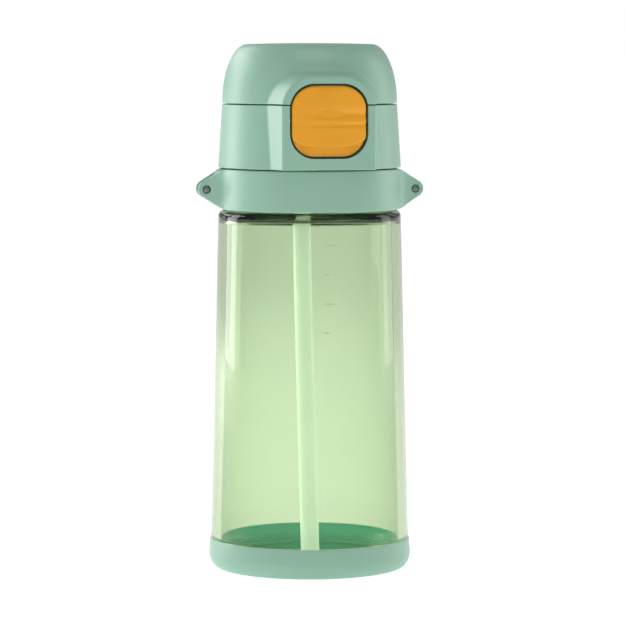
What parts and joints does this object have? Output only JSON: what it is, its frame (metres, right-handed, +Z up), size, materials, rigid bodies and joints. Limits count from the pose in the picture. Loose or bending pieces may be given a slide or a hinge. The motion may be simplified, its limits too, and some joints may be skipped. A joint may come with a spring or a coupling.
{
  "type": "child's straw bottle",
  "caption": "Straw bottle with a clear tapered body, screw cap, sprung flip lid with a push button, and a turning strap ring with two eared pins.",
  "frame": {"origin": "centre of the underside, on the surface that the bottle stands on", "axes": "+Z up along the bottle; the push button faces -Y and the lid hinge is at +Y"},
  "size_m": [0.0862, 0.0768, 0.199],
  "materials": {
    "clear_body": "clear, tinted light green",
    "mint_plastic": "satin",
    "orange_plastic": "satin",
    "white_plastic": "satin",
    "clear_silicone": "soft, milky",
    "straw_plastic": "milky translucent",
    "seal_silicone": "soft, matt",
    "pin_steel": "bright"
  },
  "bodies": {
    "bottle": {"bottle_body": "clear_body", "base_boot": "mint_plastic"},
    "ring": {"strap_ring": "mint_plastic", "strap_pin_left": "pin_steel", "strap_pin_right": "pin_steel"},
    "gasket": {"cap_gasket": "seal_silicone"},
    "cap": {"cap_shell": "mint_plastic", "cap_insert": "white_plastic", "deck_plate": "mint_plastic", "vent_valve": "seal_silicone", "mouthpiece": "clear_silicone", "straw": "straw_plastic", "lid_hinge_pin": "pin_steel", "lid_spring": "pin_steel", "button_pin": "pin_steel", "button_spring": "pin_steel"},
    "lid": {"lid_shell": "mint_plastic", "lid_liner": "white_plastic", "lid_seal": "seal_silicone"},
    "button": {"release_button": "orange_plastic"}
  },
  "joints": [
    {"name": "strap_ring_turn", "type": "hinge", "parent": "bottle", "child": "ring", "pos_m": [0, 0, 0.1441], "axis": [0, 0, 1], "continuous": true},
    {"name": "cap_lift", "type": "slide", "parent": "bottle", "child": "gasket", "axis": [0, 0, 1], "range_m": [0, 0.009]},
    {"name": "cap_turn", "type": "hinge", "parent": "gasket", "child": "cap", "pos_m": [0, 0, 0.16], "axis": [0, 0, 1], "range_deg": [0, 810]},
    {"name": "lid_hinge", "type": "hinge", "parent": "cap", "child": "lid", "pos_m": [0, 0.0345, 0.177], "axis": [-1, 0, 0], "range_deg": [0, 125], "deforming": ["lid_spring"]},
    {"name": "button_press", "type": "hinge", "parent": "cap", "child": "button", "pos_m": [0, -0.0326, 0.17025], "axis": [1, 0, 0], "range_deg": [0, 8], "stiffness_Nm_per_rad": 0.1, "springref_deg": -5.73, "deforming": ["button_spring"]}
  ],
  "couplings": [
    {"joint": "cap_lift", "follows": "cap_turn", "m_per_rad": 0.00063662}
  ]
}
